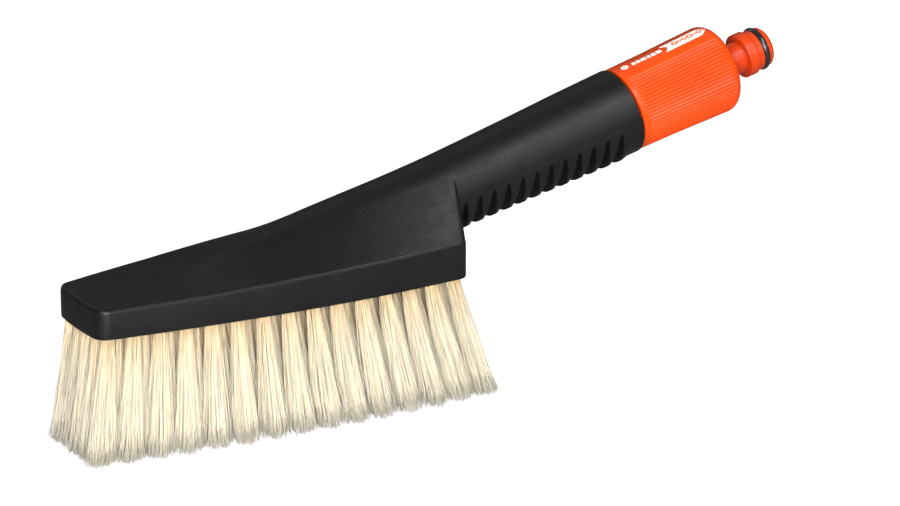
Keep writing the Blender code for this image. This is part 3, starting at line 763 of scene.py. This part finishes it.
def strand_mesh(name, lines, radii, tint_and_inner_shade, paint):
    """Three-sided strands. Each row of lines is one strand's points, and radii runs along it."""
    count, steps = lines.shape[:2]
    angles = 2 * math.pi * np.arange(3) / 3
    ring = np.stack([np.cos(angles), np.sin(angles), np.zeros(3)], axis=-1)
    points = lines[:, :, None, :] + radii[None, :, None, None] * ring[None, None, :, :]
    index = np.arange(count * steps * 3).reshape(count, steps, 3)
    low = index[:, :-1]
    high = index[:, 1:]
    quads = np.stack([low, np.roll(low, -1, axis=2), np.roll(high, -1, axis=2), high], axis=-1)
    quads = quads.reshape(-1, 4)
    ends = index[:, -1, :].reshape(-1, 3)
    mesh = bpy.data.meshes.new(name)
    loops = np.concatenate([quads[:, ::-1].ravel(), ends[:, ::-1].ravel()]).astype(np.int32)
    starts = np.concatenate([np.arange(len(quads)) * 4, len(quads) * 4 + np.arange(len(ends)) * 3])
    mesh.vertices.add(points.size // 3)
    mesh.vertices.foreach_set("co", points.astype(np.float32).ravel())
    mesh.loops.add(len(loops))
    mesh.loops.foreach_set("vertex_index", loops)
    mesh.polygons.add(len(starts))
    mesh.polygons.foreach_set("loop_start", starts.astype(np.int32))
    mesh.update(calc_edges=True)
    mesh.validate()
    along = np.broadcast_to(np.linspace(0.0, 1.0, steps)[None, :, None], (count, steps, 3))
    shade = np.broadcast_to(tint_and_inner_shade[:, None, None], (count, steps, 3))
    for key, values in (("along", along), ("tint_and_inner_shade", shade)):
        layer = mesh.attributes.new(key, "FLOAT", "POINT")
        layer.data.foreach_set("value", np.ascontiguousarray(values, dtype=np.float32).ravel())
    mesh.shade_smooth()
    return new_object(name, mesh, paint)


def tuft_lean(x):
    """How far a tuft's tips stand from its root along X: the rows fan out evenly."""
    return NOSE_LEAN + (REAR_LEAN - NOSE_LEAN) * (x - FIRST_ROW) / (ROW_PITCH * (ROWS - 1))


def tuft_lines(random, x, y, edge, spread_y):
    """Strands of one tuft: packed tight at the root, opening out evenly to the tips."""
    count = STRANDS
    share = np.linspace(0.0, 1.0, STRAND_STEPS)
    turn = random.uniform(0.0, 2 * math.pi, count)
    reach = np.sqrt(random.uniform(0.0, 1.0, count))
    across = np.stack([np.cos(turn) * reach, np.sin(turn) * reach], axis=-1)
    stray = np.where(random.uniform(0.0, 1.0, count) < STRAY_SHARE, STRAY_LOOSENESS, 1.0)
    loose = random.normal(0.0, LOOSENESS, (count, 2)) * stray[:, None]
    root = np.array((x, y)) + across * TUFT_ROOT
    lean = np.array((tuft_lean(x), SIDE_SPLAY * y / max(edge, 1 * MM)))
    tip = np.array((x, y)) + lean + (across + loose) * np.array((TUFT_TIP, spread_y))
    fan = share[None, :, None] ** 1.12
    flat = root[:, None, :] * (1 - fan) + tip[:, None, :] * fan
    bow = random.normal(0.0, BOW, (count, 1, 2)) * np.sin(math.pi * share)[None, :, None]
    hook = random.normal(0.0, HOOK, (count, 1, 2)) * np.clip(share - 0.8, 0.0, 1.0)[None, :, None] * 5
    flat = flat + bow + hook
    length = BRISTLE_LENGTH * (1.0 - np.abs(random.normal(0.0, SHORTNESS, count)) - 0.02 * reach ** 2)
    height = 0.6 * MM - (length + 0.6 * MM)[:, None] * share[None, :]
    return np.concatenate([flat, height[:, :, None]], axis=-1) + np.array(HEAD)


def make_tufts(paint):
    """Fifteen rows of tufts, each with a second row set between it and the next."""
    random = np.random.default_rng(7)
    radii = STRAND_RADIUS * np.array([1.0, 1.0, 0.97, 0.92, 0.85, 0.6])
    for index in range(ROWS):
        x = FIRST_ROW + ROW_PITCH * index
        edge = half_width(x) - TUFT_EDGE_INSET
        spacing = 2 * edge / (TUFTS_ACROSS - 1)
        places = [(x, -edge + spacing * k) for k in range(TUFTS_ACROSS)]
        if index + 1 < ROWS:
            between = x + 0.5 * ROW_PITCH
            places += [(between, -edge + spacing * (k + 0.5)) for k in range(TUFTS_ACROSS - 1)]
        lines = []
        tints_and_inner_shade = []
        for px, py in places:
            spread_y = min(0.5 * spacing + 0.6 * MM, TUFT_TIP)
            lines.append(tuft_lines(random, px, py, edge, spread_y))
            # Inner tufts get a tan that is painted shade, and every strand a random spread of colour of its
            # own.
            inner = abs(py) < INNER_SHARE * edge and 0 < index < ROWS - 1
            tints_and_inner_shade.append(np.clip(random.normal(0.25 if inner else 0.72, 0.16, STRANDS), 0.0, 1.0))
        name = f"bristle_row_{index + 1:02d}"
        row = strand_mesh(name, np.concatenate(lines), radii, np.concatenate(tints_and_inner_shade), paint)
        finish_piece(row, "handle", "bristle", f"tuft_row_{index + 1:02d}")


# ---------------------------------------------------------------- sleeve

def sleeve_radius(place):
    """Outer radius of the sleeve without its flutes, rounded off at the far end."""
    stations = np.array(SLEEVE_PROFILE) * MM
    radius = np.interp(place, stations[:, 0], stations[:, 1])
    near_end = np.clip((place - (SLEEVE_END - SLEEVE_ROUND)) / SLEEVE_ROUND, 0.0, 1.0)
    return radius - SLEEVE_ROUND * (1 - np.sqrt(1 - near_end ** 2))


def make_sleeve(paint):
    """Fluted sleeve: fine ridges along it, a plain band at the handle and a smooth strip on top."""
    straight = np.linspace(SLEEVE_START, SLEEVE_END - SLEEVE_ROUND, 50)
    quarter = np.linspace(0.0, 0.5 * math.pi, 14)[1:]
    places = np.concatenate([straight, SLEEVE_END - SLEEVE_ROUND + SLEEVE_ROUND * np.sin(quarter)])
    turns = np.linspace(0.0, 2 * math.pi, FLUTES * FLUTE_STEPS, endpoint=False)
    radius = sleeve_radius(places)
    ridge = 0.5 + 0.5 * np.cos(FLUTES * turns)
    groove = (1 - ridge ** 0.6) * FLUTE_DEPTH
    from_top = np.abs(turns - math.pi)
    side_fade = np.clip((from_top - STRIP_HALF) / STRIP_FADE, 0.0, 1.0)
    start_fade = np.clip((places - SLEEVE_START - PLAIN_BAND) / FLUTE_FADE, 0.0, 1.0)
    end_fade = np.clip((SLEEVE_END - FLUTE_END - places) / FLUTE_END_FADE, 0.0, 1.0)
    depth = groove[None, :] * side_fade[None, :] * (start_fade * end_fade)[:, None]
    outer = on_axis(radius[:, None] - depth, turns[None, :], places[:, None])
    inside = [
        (SLEEVE_MOUTH + 0.3 * MM, SLEEVE_END), (SLEEVE_MOUTH, SLEEVE_END - 0.3 * MM),
        (SLEEVE_MOUTH, SLEEVE_END - SLEEVE_RIM), (SLEEVE_BORE, SLEEVE_END - SLEEVE_RIM),
        (SLEEVE_BORE, SLEEVE_START), (SLEEVE_BORE + SLEEVE_RIM, SLEEVE_START),
    ]
    rows = [on_axis(np.full(len(turns), r), turns, np.full(len(turns), s)) for r, s in inside]
    mesh = grid_mesh("fluted_sleeve", np.concatenate([outer, np.array(rows)]), loop=True)
    smooth(mesh, 50.0)
    sleeve = new_object("fluted_sleeve", mesh, paint)
    return finish_piece(sleeve, "sleeve", "orange_plastic", "control_sleeve")


def patch(starts, ends, turns, lift):
    """Thin printed patch on the sleeve: each row of it runs from its start to its end."""
    columns = 24
    share = np.linspace(0.0, 1.0, columns)
    rows = []
    for start, end, turn in zip(starts, ends, turns):
        places = start + (end - start) * share
        rows.append(on_axis(sleeve_radius(places) + lift, np.full(columns, turn), places))
    return np.array(rows)


def patch_object(name, patches, paint):
    """One open mesh from several patches of printed ink."""
    work = bmesh.new()
    for points in patches:
        grid = [[work.verts.new(tuple(p)) for p in row] for row in points]
        for first, second in zip(grid, grid[1:]):
            for i in range(len(first) - 1):
                work.faces.new((first[i], first[i + 1], second[i + 1], second[i]))
    bmesh.ops.recalc_face_normals(work, faces=work.faces)
    mesh = bpy.data.meshes.new(name)
    work.to_mesh(mesh)
    work.free()
    mesh.shade_smooth()
    made = new_object(name, mesh, paint)
    modifier = made.modifiers.new("ink", "SOLIDIFY")
    modifier.thickness = INK
    modifier.offset = -1.0
    return finish_piece(made, "sleeve", "orange_plastic")


def disc_patch(place, turn, radius, lift, hollow=0.0):
    """Rows of a printed disc, or ring, round a point on the sleeve."""
    rows = []
    around = np.linspace(0.0, 2 * math.pi, 33)
    for reach in np.linspace(hollow, radius, 4):
        s = place + reach * np.cos(around)
        local = sleeve_radius(s)
        rows.append(on_axis(local + lift, turn + reach * np.sin(around) / local, s))
    return np.array(rows)


def make_prints(white, orange):
    """Generic printed marks: a dot in a ring, dashes, and a flag-shaped arrow with drops in it."""
    patches = [
        disc_patch(DOT_PLACE, PRINT_MIDDLE, 1.5 * MM, INK_LIFT, 0.7 * MM),
        disc_patch(DOT_PLACE, PRINT_MIDDLE, 0.4 * MM, INK_LIFT)]
    start = DASHES_START
    half = PRINT_HALF * DASH_SHARE
    for width in DASHES:
        turns = np.linspace(PRINT_MIDDLE - half, PRINT_MIDDLE + half, 4)
        patches.append(patch([start] * 4, [start + width * MM] * 4, turns, INK_LIFT))
        start += (width + DASH_GAP) * MM
    rows = 21
    turns = np.linspace(PRINT_MIDDLE - PRINT_HALF, PRINT_MIDDLE + PRINT_HALF, rows)
    from_middle = np.abs(np.linspace(-1.0, 1.0, rows))
    tails = FLAG_START + FLAG_NOTCH * (1 - from_middle)
    points = FLAG_END - FLAG_POINT * from_middle
    patches.append(patch(tails, points, turns, INK_LIFT))
    patch_object("printed_marks", patches, white)
    drops = []
    place = DROPS_START
    for size in DROPS:
        place += size
        drops.append(disc_patch(place * MM, PRINT_MIDDLE, size * MM, 2 * INK_LIFT, DROP_HOLE * size * MM))
        place += size + DROP_GAP
    patch_object("printed_drops", drops, orange)


# ---------------------------------------------------------------- hose end and inner parts

def make_connector(orange, black):
    """The hose end in one piece: nipple, collar, neck, stem, flange and spigot, and its O-rings."""
    spigot = CHAMBER_RADIUS - 0.3 * MM
    groove = spigot - 1.2 * MM
    stem_inside = STEM_RADIUS - STEM_WALL
    flange_start = CHAMBER_END + 0.3 * MM
    flange_end = HANDLE_LENGTH + 1.0 * MM
    shoulder = SLEEVE_END - 7.5 * MM
    seat = BARREL_RADIUS - 1.7 * MM
    profile = [
        (BARREL_RADIUS - 1.4 * MM, NIPPLE_END),
        (BARREL_RADIUS - 0.3 * MM, NIPPLE_END - 1.1 * MM),
        (BARREL_RADIUS - 0.1 * MM, RING_END),
        (seat, RING_END),
        (seat, RING_START),
        (BARREL_RADIUS, RING_START),
        (BARREL_RADIUS, COLLAR_END + 0.6 * MM),
        (COLLAR_RADIUS - 0.5 * MM, COLLAR_END + 0.5 * MM),
        (COLLAR_RADIUS, COLLAR_END),
        (COLLAR_RADIUS, COLLAR_START),
        (NECK_RADIUS, COLLAR_START),
        (NECK_RADIUS, SLEEVE_END - 2 * MM),
        (stem_inside, SLEEVE_END - 2 * MM),
        (stem_inside, shoulder),
        (STEM_RADIUS, shoulder),
        (STEM_RADIUS, flange_end),
        (FLANGE_RADIUS, flange_end),
        (FLANGE_RADIUS, flange_start),
        (spigot, flange_start),
        (spigot, SPIGOT_GROOVE[1]),
        (groove, SPIGOT_GROOVE[1]),
        (groove, SPIGOT_GROOVE[0]),
        (spigot, SPIGOT_GROOVE[0]),
        (spigot, SPIGOT_START),
        (SPIGOT_BORE, SPIGOT_START),
        (SPIGOT_BORE, BORE_WIDENS[0]),
        (NIPPLE_BORE, BORE_WIDENS[1]),
        (NIPPLE_BORE, NIPPLE_END),
    ]
    connector = turned("connector_body", profile, orange)
    finish_piece(connector, "connector", "orange_plastic", "hose_connector")
    ring_place = 0.5 * (RING_START + RING_END)
    ring = o_ring("nipple_ring", RING_RADIUS - RING_SECTION, ring_place, RING_SECTION, black)
    finish_piece(ring, "connector", "seal_rubber", "nipple_o_ring")
    middle = 0.5 * (groove + spigot) + 0.1 * MM
    inner = o_ring("spigot_ring", middle, 0.5 * sum(SPIGOT_GROOVE), SPIGOT_RING_SECTION, black)
    finish_piece(inner, "connector", "seal_rubber", "spigot_o_ring")


def tube(name, inner, outer, start, end, paint):
    """Plain tube or washer round the handle axis."""
    return turned(name, [(outer, end), (outer, start), (inner, start), (inner, end)], paint)


def make_inner_parts(natural, steel_paint, soap_paint, black):
    """What the handle and the hose end hold: chamber, strainer, stick, clip ring and piston."""
    wall = CHAMBER_RADIUS + CHAMBER_WALL
    chamber = tube("chamber_tube", CHAMBER_RADIUS, wall, CHAMBER_START, CHAMBER_END, natural)
    finish_piece(chamber, "handle", "natural_plastic", "stick_chamber")
    end = CHAMBER_START - 0.3 * MM
    strainer = tube("strainer_disc", 1.5 * MM, wall, end - 1.6 * MM, end, steel_paint)
    finish_piece(strainer, "handle", "strainer_steel", "chamber_strainer")
    low = CHAMBER_START + 0.3 * MM
    stick = turned("pressed_stick", [
        (0.0, low + STICK_LENGTH), (STICK_RADIUS, low + STICK_LENGTH), (STICK_RADIUS, low), (0.0, low)],
        soap_paint, radius=0.9 * MM)
    finish_piece(stick, "stick", "shampoo_soap", "shampoo_stick")
    clip = SLEEVE_END - 4.5 * MM
    ring = tube("clip_ring", STEM_RADIUS - 1.1 * MM, STEM_RADIUS + 1.6 * MM, clip, clip + 1.4 * MM, natural)
    finish_piece(ring, "connector", "natural_plastic", "sleeve_retaining_ring")
    head = NIPPLE_BORE - 0.3 * MM
    groove = head - PISTON_GROOVE_DEPTH
    piston = turned("piston_body", [
        (head, PISTON_END), (head, PISTON_GROOVE[1]), (groove, PISTON_GROOVE[1]),
        (groove, PISTON_GROOVE[0]), (head, PISTON_GROOVE[0]), (head, PISTON_START + PISTON_NOSE),
        (PISTON_NOSE_RADIUS, PISTON_START), (PISTON_BORE, PISTON_START), (PISTON_BORE, PISTON_END)],
        natural)
    finish_piece(piston, "piston", "natural_plastic", "valve_piston")
    middle = head - 0.55 * MM
    seal = o_ring("piston_ring", middle, 0.5 * sum(PISTON_GROOVE), PISTON_RING_SECTION, black)
    finish_piece(seal, "piston", "seal_rubber", "piston_seal")


def repaint(node, paint):
    """Give a CAD piece that is kept as it is a new material."""
    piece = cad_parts[node]
    for place in piece.material_slots:
        place.material = paint


# ---------------------------------------------------------------- stage, lights and camera

def make_stage():
    """Pale floor just below the bristle tips. The camera sees it lit evenly, as plain white."""
    mesh = bpy.data.meshes.new("floor")
    size = 6.0
    corners = [(-size, -size, 0.0), (size, -size, 0.0), (size, size, 0.0), (-size, size, 0.0)]
    mesh.from_pydata(corners, [], [(0, 1, 2, 3)])
    paint = Paint("pale_floor", roughness=0.9, specular=0.1)
    grey, light_grey = ((level, level, level, 1.0) for level in (0.3, 0.32))
    paint.colour(paint.ramp(paint.noise(3.0), [(0.3, grey), (0.7, light_grey)]))
    paint.shader.inputs["Emission Color"].default_value = (1.0, 1.0, 1.0, 1.0)
    camera_rays = paint.node("ShaderNodeLightPath").outputs["Is Camera Ray"]
    paint.link(camera_rays, paint.shader.inputs["Emission Strength"])
    floor = new_object("floor", mesh, paint.made)
    floor.location = (0.0, 0.0, -0.2 * MM)


def area_light(name, direction, distance, width, height, power, target):
    """Soft panel that stands this way and this far from its target, and faces it."""
    light = bpy.data.lights.new(name, "AREA")
    light.shape = "RECTANGLE"
    light.size = width
    light.size_y = height
    light.energy = power
    made = bpy.data.objects.new(name, light)
    bpy.context.scene.collection.objects.link(made)
    way = Vector(direction).normalized()
    made.location = target + way * distance
    made.rotation_mode = "QUATERNION"
    made.rotation_quaternion = way.to_track_quat("Z", "Y")
    return made


def make_lights():
    """Soft panels round the brush, one of them close to the handle, and a dim white world."""
    centre = Vector((0.0, 0.0, 0.06))
    handle = AXIS_START + ALONG * 0.75 * HANDLE_LENGTH
    panels = [      # name, direction, distance, width, height, watts, target
        ("handle_panel", (0.23, -0.565, 0.79), 0.45, 0.12, 0.1, 1.3, handle),
        ("front", (-0.52, -0.85, 0.22), 1.5, 0.9, 0.7, 46.0, centre),
        ("left_fill", (-0.9, -0.5, 0.3), 1.6, 0.9, 0.7, 2.5, centre),
        ("edge_strip", (0.486, -0.757, 0.417), 1.2, 0.12, 0.4, 3.0, centre),
        ("nose_edge", (-0.31, 0.81, 0.47), 1.2, 0.3, 0.3, 0.8, centre),
        ("back_fill", (0.35, 1.0, 1.1), 1.8, 1.2, 0.8, 2.0, centre),
    ]
    for panel in panels:
        area_light(*panel)
    world = bpy.data.worlds.new("studio")
    bpy.context.scene.world = world
    world.use_nodes = True
    back = world.node_tree.nodes["Background"]
    back.inputs["Color"].default_value = (1.0, 1.0, 1.0, 1.0)
    back.inputs["Strength"].default_value = 0.1


def make_camera():
    """A long lens a little above the brush, looking at its middle from the nose's near side."""
    level = math.cos(VIEW_RISE)
    back = Vector((-math.sin(VIEW_TURN) * level, -math.cos(VIEW_TURN) * level, math.sin(VIEW_RISE)))
    right = Vector((math.cos(VIEW_TURN), -math.sin(VIEW_TURN), 0.0))
    up = back.cross(right)
    pivot = Vector((HEAD.x + PIVOT_PLACE, 0.0, PIVOT_HEIGHT))
    aim = pivot + right * AIM_RIGHT - up * AIM_DOWN
    camera = bpy.data.cameras.new("camera")
    camera.lens = LENS
    camera.sensor_width = SENSOR_WIDTH
    camera.clip_start = 0.1
    camera.clip_end = 50.0
    made = bpy.data.objects.new("camera", camera)
    bpy.context.scene.collection.objects.link(made)
    made.location = pivot + back * VIEW_DISTANCE
    made.rotation_mode = "QUATERNION"
    made.rotation_quaternion = (aim - made.location).to_track_quat("-Z", "Y")
    bpy.context.scene.camera = made


# ---------------------------------------------------------------- everything together

make_camera()
make_lights()
make_stage()

BLACK = black_plastic()
GRIP = grip_plastic()
ORANGE = orange_plastic("orange_sleeve_plastic", srgb(190, 54, 6), srgb(208, 68, 12))
# The connector's orange is a darker copy of the sleeve's, as painted shade.
ORANGE_NIPPLE = orange_plastic("orange_connector_plastic", srgb(168, 46, 8), srgb(186, 58, 12))
RUBBER = rubber()
NATURAL = moulded("natural_acetal", srgb(214, 213, 206), srgb(232, 231, 226), (0.34, 0.46))
PLATE = moulded("plate_moulding", srgb(24, 24, 24), srgb(38, 38, 38), (0.5, 0.65))
STEEL = steel()
SOAP = soap()

make_body(BLACK)
make_grip(GRIP)
make_tufts(bristle_fibre())
make_sleeve(ORANGE)
make_prints(print_ink("white_print", srgb(240, 205, 190), srgb(253, 240, 232)),
            print_ink("orange_print", srgb(214, 70, 20), srgb(236, 90, 34)))
make_connector(ORANGE_NIPPLE, RUBBER)
make_inner_parts(NATURAL, STEEL, SOAP, RUBBER)
repaint("bristle_plate", PLATE)
repaint("plate_seal", RUBBER)

bpy.context.scene.view_settings.view_transform = "Standard"
